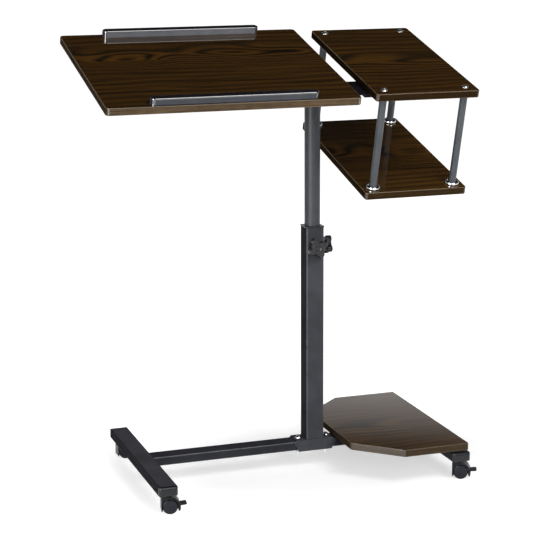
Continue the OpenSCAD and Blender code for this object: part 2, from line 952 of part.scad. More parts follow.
// Folded plate over the crossbar, with pointed ears on its flanges
module saddle_bracket() {
    flange_y = foot_w / 2 + seat_gap;
    half = saddle_l / 2;
    top = crossbar_top_z + saddle_t;
    low = foot_z - saddle_lap;
    color(steel_black) at_column() difference() {
        union() {
            translate([-half, -flange_y - saddle_t, crossbar_top_z])
                cube([saddle_l, 2 * (flange_y + saddle_t), saddle_t]);
            for (s = [-1, 1])
                translate([0, s * (flange_y + saddle_t / 2), 0])
                    along_y(saddle_t)
                        polygon([
                            [-half, top], [half, top],
                            [half + saddle_ear, crossbar_top_z - saddle_ear_drop],
                            [half - saddle_ear_drop, low], [-half + saddle_ear_drop, low],
                            [-half - saddle_ear, crossbar_top_z - saddle_ear_drop]
                        ]);
        }
        for (x = [-saddle_bolt_x, saddle_bolt_x])
            translate([x, 0, crossbar_top_z - over])
                cylinder(d = saddle_bolt_d + 2 * seat_gap, h = saddle_t + 2 * over);
    }
}

module saddle_bolts() {
    tail_z = foot_z - saddle_bolt_tail;
    color(chrome) at_column() for (x = [-saddle_bolt_x, saddle_bolt_x])
        translate([x, 0, 0]) {
            translate([0, 0, tail_z])
                cylinder(d = saddle_bolt_d, h = outer_foot_z - tail_z);
            translate([0, 0, outer_foot_z])
                dome(saddle_head_d, saddle_head_h);
        }
}

module saddle_nuts() {
    color(zinc) at_column() for (x = [-saddle_bolt_x, saddle_bolt_x])
        translate([x, 0, foot_z - saddle_nut_t])
            difference() {
                cylinder(d = saddle_nut_w / cos(30), h = saddle_nut_t, $fn = 6);
                translate([0, 0, -over])
                    cylinder(d = saddle_bolt_d + 2 * run_gap, h = saddle_nut_t + 2 * over);
            }
}

// What a round corner of radius r leaves over of a sharp corner at c, between its neighbours a and b
module corner_waste(a, c, b, r) {
    to_a = (a - c) / norm(a - c);
    to_b = (b - c) / norm(b - c);
    inward = (to_a + to_b) / norm(to_a + to_b);
    half_angle = acos(to_a * to_b) / 2;
    centre = c + inward * r / sin(half_angle);
    reach = r / tan(half_angle);
    difference() {
        polygon([c - inward * over, c + to_a * reach, centre, c + to_b * reach]);
        translate(centre)
            circle(r);
    }
}

module base_board() {
    half = base_d / 2;
    corners = [
        [base_left_x, -half + base_cut_d], [base_left_x + base_cut_w, -half],
        [base_right_x, -half], [base_right_x, half],
        [base_left_x + base_cut_w, half], [base_left_x, half - base_cut_d]
    ];
    radii = [base_left_r, base_corner_r, base_corner_r, base_corner_r, base_corner_r, base_left_r];
    color(wood_base) at_column() difference() {
        translate([0, 0, base_z])
            linear_extrude(base_t)
                difference() {
                    polygon(corners);
                    for (k = [0 : 5])
                        corner_waste(corners[(k + 5) % 6], corners[k], corners[(k + 1) % 6], radii[k]);
                }
        screw_holes(concat(foot_screws, crossbar_screws), base_z, base_t * screw_bite_share);
    }
}

module base_board_washers() {
    color(plastic_black) at_column() {
        for (p = foot_screws)
            washer(p, foot_z + foot_h);
        for (p = crossbar_screws)
            washer(p, crossbar_top_z);
    }
}

// Washer at p that fills the space between a tube at height z and the base board
module washer(p, z) {
    translate([p[0], p[1], z])
        difference() {
            cylinder(d = washer_d, h = base_z - z);
            translate([0, 0, -over])
                cylinder(d = screw_d + 2 * seat_gap, h = base_z - z + 2 * over);
        }
}

module base_board_screws() {
    color(zinc) at_column() for (p = concat(foot_screws, crossbar_screws))
        translate([p[0], p[1], foot_z])
            screw_up(screw_d, base_z - foot_z + base_t * screw_bite_share - seat_gap,
                screw_head_d, screw_head_h);
}

// Angle at which a caster stands: the front ones are turned a little, the rear ones point along X
function caster_turn(sx, sy) = sy > 0 ? 0 : sx < 0 ? left_caster_turn : right_caster_turn;

// Places its children at a caster's swivel axis: sx and sy pick the foot and its end
module at_caster(sx, sy) {
    at_column()
        translate([sx < 0 ? left_foot_x : right_foot_x, sy * caster_y, 0])
            rotate(caster_turn(sx, sy))
                children();
}

module caster_stems() {
    collar_z = hood_top_z + part_gap;
    color(zinc) for (sx = [-1, 1], sy = [-1, 1])
        at_caster(sx, sy) {
            translate([0, 0, foot_z - over])
                cylinder(d = stem_d, h = foot_wall + weld_nut_l + over);
            translate([0, 0, collar_z])
                cylinder(d = stem_collar_d, h = foot_z - collar_z);
            translate([0, 0, hood_top_z - pin_l + stem_top_gap])
                cylinder(d = pin_d, h = collar_z - hood_top_z + pin_l - stem_top_gap + over);
        }
}

// Side outline of a hood, in x and z from the swivel axis: a straight front and a round back
module hood_outline() {
    intersection() {
        union() {
            translate([caster_trail, axle_z])
                circle(hood_r);
            translate([-hood_front, hood_low_z])
                square([hood_front + caster_trail, hood_top_z - hood_low_z]);
        }
        difference() {
            translate([-hood_front, hood_low_z])
                square([hood_front + caster_trail + hood_r, hood_top_z - hood_low_z]);
            // Leaves a pointed tip at the round back
            translate([caster_trail, axle_z])
                polygon([[0, 0], [12, 0], [18, -9.75], [18, -wheel_r], [0, -wheel_r]]);
        }
    }
}

module hood(sx, sy, braked) {
    color(plastic_black) at_caster(sx, sy) difference() {
        union() {
            difference() {
                along_y(caster_w)
                    hood_outline();
                translate([caster_trail, -caster_w / 2 - over, axle_z])
                    y_rod(wheel_d + 2 * wheel_space, caster_w + 2 * over);
            }
            along_y(web_w) {
                hood_outline();
                translate([caster_trail, axle_z])
                    circle(web_r);
            }
        }
        translate([0, 0, hood_top_z - pin_l])
            cylinder(d = pin_d + 2 * run_gap, h = pin_l + over);
        translate([caster_trail, -web_w / 2 - over, axle_z])
            y_rod(axle_d + 2 * seat_gap, web_w + 2 * over);
        if (braked)
            lever_room();
    }
}

// Slot for the brake lever in the hood's back, and the bores for its trunnions
module lever_room() {
    slot_w = lever_w + 2 * part_gap;
    slot_x = lever_x - lever_boss_r - lever_boss_shift - part_gap;
    slot_z = lever_z - lever_boss_r - part_gap;
    translate([slot_x, -slot_w / 2, slot_z])
        cube([hood_r, slot_w, 2 * (lever_boss_r + part_gap) + lever_swing_room]);
    bore_l = slot_w + 2 * (trunnion_l + part_gap);
    translate([lever_x, -bore_l / 2, lever_z])
        y_rod(trunnion_d + 2 * run_gap, bore_l);
}

module hood_front_left() {
    hood(-1, -1, true);
}

module hood_front_right() {
    hood(1, -1, true);
}

module hood_back_left() {
    hood(-1, 1, false);
}

module hood_back_right() {
    hood(1, 1, false);
}

// Brake lever: an off-centre boss on trunnions, and a tongue with a round tip
module brake_lever(sx) {
    tongue_l = lever_reach - lever_x - lever_t / 2;
    color(plastic_black) at_caster(sx, -1) translate([lever_x, 0, lever_z]) {
        along_y(lever_w) {
            translate([-lever_boss_shift, 0])
                circle(lever_boss_r);
            rotate(lever_slope) {
                translate([0, -lever_t / 2])
                    square([tongue_l, lever_t]);
                translate([tongue_l, 0])
                    circle(d = lever_t);
            }
        }
        translate([0, -lever_w / 2 - trunnion_l, 0])
            y_rod(trunnion_d, lever_w + 2 * trunnion_l);
    }
}

module brake_lever_left() {
    brake_lever(-1);
}

module brake_lever_right() {
    brake_lever(1);
}

// Wheel whose crowned outer face looks away from the web; side -1 is in front of it, 1 behind
module wheel(sx, sy, side) {
    ball_r = (wheel_r * wheel_r + wheel_crown_h * wheel_crown_h) / (2 * wheel_crown_h);
    color(plastic_black) at_caster(sx, sy)
        translate([caster_trail, side * (web_w / 2 + part_gap), axle_z])
            rotate([-90 * side, 0, 0])
                difference() {
                    intersection() {
                        cylinder(r = wheel_r, h = wheel_w);
                        translate([0, 0, wheel_w - ball_r])
                            sphere(ball_r, $fn = 96);
                    }
                    translate([0, 0, -over])
                        cylinder(d = axle_d + 2 * run_gap, h = wheel_w - wheel_skin + over);
                }
}

module axle(sx, sy) {
    half = web_w / 2 + part_gap + wheel_w - wheel_skin - part_gap;
    color(zinc) at_caster(sx, sy)
        translate([caster_trail, -half, axle_z])
            y_rod(axle_d, 2 * half);
}

left_foot_tube();
right_foot_tube();
foot_end_caps();
crossbar();
saddle_bracket();
saddle_bolts();
saddle_nuts();
base_board();
base_board_washers();
base_board_screws();
outer_tube();
top_collar();
clamp_bosses();
caster_stems();
guide_plug();
inner_tube();
head_bracket();
pivot_bolt();
front_knob();
front_knob_stud();
side_knob();
side_knob_stud();
tilt_knob();
tilt_bracket();
tilt_bracket_screws();
main_board();
front_stop_rail();
rear_stop_rail();
rail_screws();
side_arm();
side_arm_bar();
side_arm_screws();
upper_shelf();
lower_shelf();
post_front_left();
post_front_right();
post_back_left();
post_back_right();
post_cups();
shelf_top_screws();
shelf_bottom_screws();
hood_front_left();
hood_front_right();
hood_back_left();
hood_back_right();
wheel(-1, -1, -1);  // wheel_front_left_outer
wheel(-1, -1, 1);  // wheel_front_left_inner
wheel(1, -1, -1);  // wheel_front_right_outer
wheel(1, -1, 1);  // wheel_front_right_inner
wheel(-1, 1, 1);  // wheel_back_left_outer
wheel(-1, 1, -1);  // wheel_back_left_inner
wheel(1, 1, 1);  // wheel_back_right_outer
wheel(1, 1, -1);  // wheel_back_right_inner
axle(-1, -1);  // axle_front_left
axle(1, -1);  // axle_front_right
axle(-1, 1);  // axle_back_left
axle(1, 1);  // axle_back_right
brake_lever_left();
brake_lever_right();
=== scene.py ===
"""Laptop cart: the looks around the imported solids. Lengths are in metres."""
import json
import math

import bmesh
import bpy
from mathutils import Matrix, Vector


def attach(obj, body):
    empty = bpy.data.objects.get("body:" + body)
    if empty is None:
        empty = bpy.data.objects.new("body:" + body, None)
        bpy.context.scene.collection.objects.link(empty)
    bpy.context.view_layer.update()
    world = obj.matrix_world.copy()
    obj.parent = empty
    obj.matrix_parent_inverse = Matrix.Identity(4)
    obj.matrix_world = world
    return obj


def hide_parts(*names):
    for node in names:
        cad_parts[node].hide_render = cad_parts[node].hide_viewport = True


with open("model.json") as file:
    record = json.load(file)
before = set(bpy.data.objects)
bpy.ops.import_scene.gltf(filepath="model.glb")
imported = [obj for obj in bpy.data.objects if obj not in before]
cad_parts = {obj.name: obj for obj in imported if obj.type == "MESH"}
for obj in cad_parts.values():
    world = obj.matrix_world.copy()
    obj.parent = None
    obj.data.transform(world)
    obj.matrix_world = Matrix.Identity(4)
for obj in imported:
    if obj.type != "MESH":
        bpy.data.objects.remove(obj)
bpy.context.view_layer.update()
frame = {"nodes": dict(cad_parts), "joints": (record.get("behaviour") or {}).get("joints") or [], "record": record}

MM = 0.001
record = frame["record"]
joints = {j["name"]: j for j in frame["joints"]}
body_of = {n: b for b, nodes in record["behaviour"]["bodies"].items() for n in nodes}
slot_of = {s["node"]: s["material_slot"] for s in record["subparts"]}

# Frames: the column's foot, and the top's frame, which leans about the tilt pivot
pivot = Vector(joints["top_tilt"]["pos_m"])
column = Matrix.Translation((pivot.x, pivot.y, 0))
top_face = next(m for m in record["mounts"] if m["name"] == "main_top")
lean = math.atan2(-top_face["axis"][1], top_face["axis"][2])
tilt = Matrix.Translation(pivot) @ Matrix.Rotation(lean, 4, "X")


def local_box(node, matrix):
    """Lowest and highest corner of a CAD node, in the frame that the matrix places."""
    back = matrix.inverted()
    points = [back @ v.co for v in frame["nodes"][node].data.vertices]
    low = Vector([min(p[k] for p in points) for k in range(3)])
    high = Vector([max(p[k] for p in points) for k in range(3)])
    return low, high


top = tilt @ Matrix.Translation((0, 0, local_box("main_board", tilt)[1].z))

# Camera: fitted to the photograph, from the column's foot
CAMERA_PLACE = column @ Vector((-1.17278, -3.16811, 1.14783))
CAMERA_AZIMUTH = math.radians(-18.84)
CAMERA_ELEVATION = math.radians(12.17)
CAMERA_ROLL = math.radians(-0.26)
CAMERA_LENS = 111.86
CAMERA_SENSOR = 36
CAMERA_REACH = 60

scene = bpy.context.scene
scene.view_settings.view_transform = "Standard"
camera = bpy.data.objects.new("camera", bpy.data.cameras.new("camera"))
scene.collection.objects.link(camera)
camera.matrix_world = (
    Matrix.Translation(CAMERA_PLACE)
    @ Matrix.Rotation(CAMERA_AZIMUTH, 4, "Z")
    @ Matrix.Rotation(math.pi / 2 - CAMERA_ELEVATION, 4, "X")
    @ Matrix.Rotation(CAMERA_ROLL, 4, "Z")
)
camera.data.lens = CAMERA_LENS
camera.data.sensor_width = CAMERA_SENSOR
camera.data.clip_end = CAMERA_REACH
scene.camera = camera


# Colours and node trees
def srgb(code):
    """Linear colour of a hexadecimal sRGB code."""
    parts = [int(code[k:k + 2], 16) / 255 for k in (1, 3, 5)]
    return tuple(c / 12.92 if c <= 0.04045 else ((c + 0.055) / 1.055) ** 2.4 for c in parts) + (1,)


def grey(level):
    return (level, level, level, 1)


class Tree:
    """Adds nodes to the tree of a material or a world."""

    def __init__(self, owner):
        owner.use_nodes = True
        self.tree = owner.node_tree

    def set(self, socket, value):
        """Links a socket to another one, or gives it a constant."""
        if isinstance(value, bpy.types.NodeSocket):
            self.tree.links.new(value, socket)
        else:
            socket.default_value = value

    def add(self, kind, inputs=None, **options):
        node = self.tree.nodes.new(kind)
        for key, value in options.items():
            setattr(node, key, value)
        for key, value in (inputs or {}).items():
            self.set(node.inputs[key], value)
        return node

    def calc(self, operation, *values):
        return self.add("ShaderNodeMath", dict(enumerate(values)), operation=operation).outputs[0]

    def noise(self, vector, scale=1.0, detail=2.0, roughness=0.5):
        settings = {"Vector": vector, "Scale": scale, "Detail": detail, "Roughness": roughness}
        return self.add("ShaderNodeTexNoise", settings).outputs["Fac"]

    def span(self, value, low, high, to_low, to_high):
        """Maps a range of values onto another one and stops at its ends."""
        return self.add("ShaderNodeMapRange", {"Value": value, "From Min": low, "From Max": high,
                                               "To Min": to_low, "To Max": to_high}).outputs["Result"]

    def mix(self, factor, a, b):
        node = self.add("ShaderNodeMix", {"Factor": factor}, data_type="RGBA")
        for key, value in (("A", a), ("B", b)):
            self.set(next(s for s in node.inputs if s.name == key and s.type == "RGBA"), value)
        return next(s for s in node.outputs if s.type == "RGBA")

    def ramp(self, value, stops):
        """Colour ramp over (place, grey level) stops."""
        node = self.add("ShaderNodeValToRGB", {"Fac": value})
        band = node.color_ramp
        for k, (place, level) in enumerate(stops):
            stop = band.elements[k] if k < 2 else band.elements.new(place)
            stop.position = place
            stop.color = grey(level)
        return node.outputs["Color"]


class Finish(Tree):
    """A material, whose constants are given as names of the shader's sockets."""

    def __init__(self, name, **sockets):
        self.material = bpy.data.materials.new(name)
        super().__init__(self.material)
        self.shader = self.tree.nodes["Principled BSDF"]
        for key, value in sockets.items():
            self.shader.inputs[key.replace("_", " ")].default_value = value
        self.place = self.add("ShaderNodeTexCoord").outputs["Object"]

    def stretch(self, scale, location=(0, 0, 0)):
        settings = {"Vector": self.place, "Scale": scale, "Location": location}
        return self.add("ShaderNodeMapping", settings).outputs["Vector"]

    def bump(self, height, distance, strength):
        normal = self.add("ShaderNodeBump", {"Height": height, "Distance": distance, "Strength": strength})
        self.set(self.shader.inputs["Normal"], normal.outputs["Normal"])

    def done(self, colour, roughness):
        self.set(self.shader.inputs["Base Color"], colour)
        self.set(self.shader.inputs["Roughness"], roughness)
        return self.material


# Growth lines per metre across a board; how far noise pulls them, in lines, at two distances from the eyes
GROWTH_LINES = 42.0
PULL_DISTANCES = (0.015, 0.07)
PULL_NEAR, PULL_FAR = 8, 1.2


def wood_face(name, tones, rough, eye, figure, **sockets):
    """Laminate whose grain runs along X: growth lines that close into pointed eyes in a band round Y = eye,
    broad bands, streaks and pores. Figure is the strength of the eyes."""
    n = Finish(name, **sockets)
    black, dark, mid, warm = (srgb(t) for t in tones)
    across = n.add("ShaderNodeSeparateXYZ", {0: n.place}).outputs["Y"]
    away = n.calc("ABSOLUTE", n.calc("SUBTRACT", across, eye))
    # Level lines of a slope across the board, pushed about by noise, strongly so near the eyes
    drift = n.noise(n.stretch((5.5, 13, 1), (3, 1, 0)), detail=0.0)
    pull = n.calc("MULTIPLY", drift, n.span(away, *PULL_DISTANCES, PULL_NEAR * figure, PULL_FAR))
    turns = n.calc("MULTIPLY", n.calc("MULTIPLY_ADD", across, GROWTH_LINES, pull), 2 * math.pi)
    lines = n.calc("SINE", turns)
    broad = n.noise(n.stretch((2.6, 30, 1), (1, 4, 0)), detail=3.0, roughness=0.6)
    patch = n.noise(n.stretch((4, 12, 1), (9, 3, 0)))
    streak = n.noise(n.stretch((3.5, 170, 1), (3, 7, 0)), detail=3.0, roughness=0.7)
    pores = n.noise(n.stretch((14, 900, 1)))
    colour = n.mix(n.span(broad, 0.34, 0.66, 0, 1), dark, mid)
    colour = n.mix(n.span(streak, 0.46, 0.7, 0, 0.5), colour, warm)
    shown = n.calc("MULTIPLY", n.span(away, 0.02, 0.07, 1.0, 0.45), n.span(patch, 0.35, 0.6, 0.6, 1.0))
    light = n.calc("MULTIPLY", n.span(lines, 0.2, -1.0, 0.0, 0.5), shown)
    faint = n.calc("MULTIPLY", n.span(lines, 0.35, 0.95, 0.0, 0.85), shown)
    colour = n.mix(light, colour, warm)
    colour = n.mix(faint, colour, black)
    colour = n.mix(n.span(pores, 0.5, 0.7, 0.0, 0.3), colour, black)
    n.bump(pores, 0.02 * MM, 0.15)
    return n.done(colour, n.span(pores, 0.3, 0.7, rough, rough + 0.08))


def wood_edge(name, tones, rough, **sockets):
    """Edge band: fine lines run along the edge."""
    n = Finish(name, **sockets)
    dark, light = (srgb(t) for t in tones)
    lines = n.noise(n.stretch((9, 9, 620)), detail=4.0, roughness=0.6)
    patches = n.noise(n.stretch((60, 60, 60)))
    colour = n.mix(n.span(lines, 0.32, 0.7, 0, 1), dark, light)
    colour = n.mix(n.span(patches, 0.4, 0.7, 0.0, 0.35), colour, dark)
    n.bump(lines, 0.05 * MM, 0.4)
    return n.done(colour, n.span(lines, 0.3, 0.7, rough, rough + 0.1))


def coat(name, tones, rough, depth=0.03 * MM, **sockets):
    """Paint or moulded plastic: two close tones, a fine even texture, roughness that varies a little."""
    n = Finish(name, **sockets)
    dark, light = (srgb(t) for t in tones)
    cloud = n.noise(n.place, 14, 3.0, 0.6)
    fine = n.noise(n.place, 1 / (0.7 * MM), 3.0, 0.6)
    colour = n.mix(n.span(cloud, 0.35, 0.65, 0, 1), dark, light)
    n.bump(fine, depth, 0.6)
    return n.done(colour, n.span(cloud, 0.3, 0.7, rough - 0.04, rough + 0.05))


def polish(name, tones, rough, **sockets):
    """A coat with a shallower texture."""
    return coat(name, tones, rough, 0.01 * MM, **sockets)


def metal(name, tones, rough, **sockets):
    """Bare or plated metal with fine brush marks."""
    n = Finish(name, Metallic=1.0, **sockets)
    dark, light = (srgb(t) for t in tones)
    marks = n.noise(n.stretch((300, 300, 2600)), detail=3.0, roughness=0.6)
    colour = n.mix(n.span(marks, 0.35, 0.65, 0, 1), dark, light)
    n.bump(marks, 0.008 * MM, 0.4)
    return n.done(colour, n.span(marks, 0.3, 0.7, rough, rough + 0.06))


def sheen(level):
    """Sockets of a surface that shines by itself, from none at 0."""
    return {"Specular_IOR_Level": level}


def lacquer(roughness, ior):
    """Sockets of a clear coat on a surface that doesn't shine by itself."""
    return {"Coat_Weight": 1.0, "Coat_Roughness": roughness, "Coat_IOR": ior, "Specular_IOR_Level": 0.0}


# Wood tones, from the pores to the streaks
TONES = ("#0a0601", "#241704", "#382509", "#674210")
# The lower shelf: the same laminate painted lighter, as painted light where the upper shelf shades it
LOW_SHELF_LIT_TONES = ("#0d0903", "#2a1c07", "#422d0e", "#744b16")
BASE_TONES = ("#0f0a05", "#2e2217", "#4b3925", "#7c562b")
BOARD_LACQUER = lacquer(0.04, 2.1)
BRIGHT_LACQUER = lacquer(0.08, 2.2)
WOODS = {
    "dark_wood": (TONES, 0.35, 0.06, 1.0, BOARD_LACQUER),
    "shelf_wood": (TONES, 0.35, -0.03, 0.6, BOARD_LACQUER),
    "low_shelf_wood": (LOW_SHELF_LIT_TONES, 0.35, 0.0, 0.8, BOARD_LACQUER),
    "base_wood": (BASE_TONES, 0.4, -0.05, 0.7, lacquer(0.03, 1.57)),
}
# The other finishes: how they are made, two tones, roughness and sockets
FINISHES = {
    "dark_edge": (wood_edge, ("#43372a", "#725f49"), 0.4, sheen(0)),
    # The shelves' edge band in two tones: painted lighter on the lower shelf, darker on the upper, as painted
    # light and shade
    "shelf_edge": (wood_edge, ("#2e2214", "#483722"), 0.4, sheen(0)),
    "base_edge": (wood_edge, ("#3a2f25", "#584a39"), 0.4, sheen(0)),
    "upper_edge": (wood_edge, ("#271b0f", "#3c2d1a"), 0.4, sheen(0)),
    # Edge band painted lighter and greyer on rounded corners and cut edges: a painted sheen on top of its real
    # gloss
    "corner_edge": (wood_edge, ("#463b2f", "#675a4b"), 0.28, sheen(0.4)),
    "corner_shine": (wood_edge, ("#3d3020", "#564430"), 0.3, BRIGHT_LACQUER),
    # Upper rounding of the edge band painted lighter: a painted highlight line on top of its real gloss
    "arris": (wood_edge, ("#564836", "#70614b"), 0.25, sheen(0.4)),
    "backing": (coat, ("#1c160f", "#251e15"), 0.6, sheen(0)),
    "black_paint": (coat, ("#404145", "#4a4b50"), 0.5, sheen(0)),
    "black_paint_edge": (coat, ("#424247", "#4d4d52"), 0.28, sheen(0.38)),
    # The black powder coat in lighter and darker copies: the feet a shade lighter, the crossbar darker, as painted
    # light and shade
    "foot_paint": (coat, ("#424246", "#4c4c51"), 0.5, sheen(0)),
    "bar_paint": (coat, ("#303135", "#393a3f"), 0.5, sheen(0)),
    "arm_black": (coat, ("#121014", "#1a181d"), 0.5, sheen(0.05)),
    "grey_paint": (coat, ("#474b4f", "#52565b"), 0.42, sheen(0.3)),
    # The posts' grey paint in a darker copy for the inner tube, as painted shade under the main board
    "tube_paint": (coat, ("#3c3e42", "#46484d"), 0.46, sheen(0.24)),
    "knob_black": (coat, ("#222225", "#2d2d31"), 0.26, sheen(0.3)),
    "black_plastic": (coat, ("#0f1013", "#17181c"), 0.28, sheen(0.36)),
    "caster_black": (coat, ("#131418", "#1c1d22"), 0.3, sheen(0.2)),
    "wheel_black": (coat, ("#14161d", "#1f222c"), 0.25, sheen(0.25)),
    "gloss_black": (polish, ("#141418", "#1c1c22"), 0.3, lacquer(0.08, 1.6)),
    # The rails' faces: one plastic in two tones, the rear rail's painted much lighter as painted light
    "rail_face": (polish, ("#272b32", "#31353d"), 0.3, lacquer(0.08, 1.42)),
    "rear_rail_face": (polish, ("#5c5e63", "#696b70"), 0.3, lacquer(0.08, 1.6)),
    # The rails' end walls painted lighter and bluer: painted light on them
    "rail_end": (polish, ("#4a505c", "#565d6a"), 0.5, sheen(0)),
    "rail_shine": (polish, ("#1c1c20", "#26262b"), 0.3, BRIGHT_LACQUER),
    "screw_steel": (metal, ("#d6d8da", "#eceef0"), 0.26, {}),
    "chrome": (metal, ("#e4e6e8", "#f2f4f6"), 0.1, {}),
    "zinc": (metal, ("#a2a4a7", "#bcbec1"), 0.28, {}),
}
materials = {}
for name, (tones, rough, eye, figure, sockets) in WOODS.items():
    materials[name] = wood_face(name, tones, rough, eye, figure, **sockets)
for name, (kind, tones, rough, sockets) in FINISHES.items():
    materials[name] = kind(name, tones, rough, **sockets)


# Mesh building
def ring(radius, z, count=48):
    """Points of a level circle about the Z axis, or its centre alone where the radius is zero."""
    if radius <= 0:
        return [Vector((0, 0, z))]
    turns = [2 * math.pi * k / count for k in range(count)]
    return [Vector((radius * math.cos(a), radius * math.sin(a), z)) for a in turns]


def lift(outline, z):
    """Points of a flat outline at a height."""
    return [Vector((p.x, p.y, z)) for p in outline]


def skin(bm, rings, matrix=Matrix.Identity(4), caps=(0, 0), side=0, trim=None):
    """Joins rings of points into a closed surface. A ring of one point is a tip. Caps are the ends' material
    indices, side is that of the walls, and trim gives (first row, index) for the rows near the upper end."""
    rows = [[bm.verts.new(matrix @ p) for p in points] for points in rings]
    for row, (a, b) in enumerate(zip(rows, rows[1:])):
        index = trim[1] if trim and row >= trim[0] else side
        count = max(len(a), len(b))
        for k in range(count):
            m = (k + 1) % count
            if len(a) == 1:
                corners = (a[0], b[m], b[k])
            elif len(b) == 1:
                corners = (a[k], a[m], b[0])
            else:
                corners = (a[k], a[m], b[m], b[k])
            bm.faces.new(corners).material_index = index
    if len(rows[0]) > 2 and caps[0] is not None:
        bm.faces.new(rows[0][::-1]).material_index = caps[0]
    if len(rows[-1]) > 2 and caps[1] is not None:
        bm.faces.new(rows[-1]).material_index = caps[1]


def lathe(bm, profile, matrix=Matrix.Identity(4), count=48):
    """Turns a profile of (radius, height) points, from the bottom up, about the Z axis."""
    skin(bm, [ring(r, z, count) for r, z in profile], matrix)


def rounded_outline(width, depth, radius, steps=8):
    """Rectangle about the origin with rounded corners, counter-clockwise."""
    points = []
    for cx, cy, start in ((1, 1, 0), (-1, 1, 90), (-1, -1, 180), (1, -1, 270)):
        for k in range(steps + 1):
            a = math.radians(start + 90 * k / steps)
            points.append(Vector((cx * (width / 2 - radius) + radius * math.cos(a),
                                  cy * (depth / 2 - radius) + radius * math.sin(a))))
    return points


def rounded_polygon(corners, radii, steps=6):
    """Polygon with each corner rounded, for corners listed counter-clockwise, each with its own radius."""
    points = []
    for k, (corner, radius) in enumerate(zip(corners, radii)):
        before = (corners[k - 1] - corner).normalized()
        after = (corners[(k + 1) % len(corners)] - corner).normalized()
        half = before.angle(after) / 2
        reach = radius / math.tan(half)
        centre = corner + (before + after).normalized() * radius / math.sin(half)
        start, end = corner + before * reach - centre, corner + after * reach - centre
        turn = start.angle_signed(end)
        for s in range(steps + 1):
            points.append(centre + Matrix.Rotation(-turn * s / steps, 2) @ start)
    return points


def inset(outline, distance):
    """Moves a counter-clockwise outline inwards."""
    result = []
    for k, point in enumerate(outline):
        normals = []
        for a, b in ((outline[k - 1], point), (point, outline[(k + 1) % len(outline)])):
            edge = b - a
            normals.append(Vector((edge.y, -edge.x)).normalized())
        total = normals[0] + normals[1]
        result.append(point - distance * total / (1 + normals[0].dot(normals[1])))
    return result


def rounded_rings(outline, low, high, low_r, high_r, steps):
    """Rings of an upright solid over an outline, with rounded lower and upper edges."""
    rings = []
    for k in range(steps + 1):
        a = math.pi / 2 * (1 - k / steps)
        rings.append(lift(inset(outline, low_r * (1 - math.cos(a))), low + low_r * (1 - math.sin(a))))
    for k in range(steps + 1):
        a = math.pi / 2 * k / steps
        rings.append(lift(inset(outline, high_r * (1 - math.cos(a))), high - high_r * (1 - math.sin(a))))
    return rings


def shade(mesh, sharp):
    """Smooth shading weighted by area, so that flat faces stay flat and only their rounded edges turn."""
    around = [[] for vertex in mesh.vertices]
    for face in mesh.polygons:
        for index in face.vertices:
            around[index].append((face.normal.copy(), face.area))
    limit = math.cos(math.radians(sharp))
    normals = []
    for face in mesh.polygons:
        for index in face.vertices:
            total = Vector()
            for normal, area in around[index]:
                if face.normal.dot(normal) > limit:
                    total += normal * area
            normals.append(total.normalized() if total.length > 0 else face.normal.copy())
    mesh.shade_smooth()
    mesh.normals_split_custom_set(normals)


def make(name, bm, matrix=Matrix.Identity(4), sharp=35):
    """Object from a mesh under construction. Edges that turn by more than sharp degrees stay sharp."""
    bmesh.ops.remove_doubles(bm, verts=bm.verts, dist=1e-7)
    bmesh.ops.recalc_face_normals(bm, faces=bm.faces)
    mesh = bpy.data.meshes.new(name)
    bm.to_mesh(mesh)
    bm.free()
    shade(mesh, sharp)
    piece = bpy.data.objects.new(name, mesh)
    scene.collection.objects.link(piece)
    piece.matrix_world = matrix
    return piece


def dress(piece, *nodes, slots=None):
    """Puts a piece on its body in place of its CAD nodes, with the finish of their slot or those given."""
    slot = slot_of[nodes[0]]
    for name in slots or (slot,):
        piece.data.materials.append(materials[name])
    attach(piece, body_of[nodes[0]])
    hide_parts(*nodes)


# Radius of the small edges of tubes, posts and solids
EDGE_R = 0.4 * MM

# Material indices of a board's faces; a rail has another finish for its ends in place of the corners,
# painted lighter as light on them
FACE, EDGE, ARRIS, CORNER, BACK = range(5)
RAIL_END = CORNER


def shine_corners(bm, finish, least=0.0):
    """Another finish for the walls that face neither along X nor along Y, but along Y by the least share."""
    bm.normal_update()
    for face in bm.faces:
        x, y = abs(face.normal.x), abs(face.normal.y)
        if face.material_index == EDGE and max(x, y) < 0.99 and y >= least:
            face.material_index = finish


BOARD_EDGE_R = 1.2 * MM
BOARD_EDGE_STEPS = 4


def board(node, outline, thickness, place, slots, least=0.0):
    """Board with a band round its edge, its upper face at the level of its place."""
    bm = bmesh.new()
    rings = rounded_rings(outline, -thickness, 0, BOARD_EDGE_R, BOARD_EDGE_R, BOARD_EDGE_STEPS)
    skin(bm, rings, caps=(BACK, FACE), side=EDGE, trim=(BOARD_EDGE_STEPS + 1, ARRIS))
    shine_corners(bm, CORNER, least)
    dress(make(node + "_piece", bm, place), node, slots=slots)


# Main board and shelves: corner radius, least share of the corners that shine, and finishes
BOARDS = {
    # Lower shelf wood and edge painted lighter, upper shelf edge darker: painted light and shade. Arris and
    # corners painted lighter as highlights
    "main_board": (8 * MM, 0.87, ("dark_wood", "dark_edge", "arris", "corner_shine", "backing")),
    "upper_shelf": (6 * MM, 0.0, ("shelf_wood", "upper_edge", "arris", "corner_edge", "backing")),
    "lower_shelf": (6 * MM, 0.0, ("low_shelf_wood", "shelf_edge", "arris", "corner_edge", "backing")),
}
for node, (corner_r, least, slots) in BOARDS.items():
    low, high = local_box(node, top)
    centre = (low + high) / 2
    outline = rounded_outline(high.x - low.x, high.y - low.y, corner_r)
    place = top @ Matrix.Translation((centre.x, centre.y, high.z))
    board(node, outline, high.z - low.z, place, slots, least)

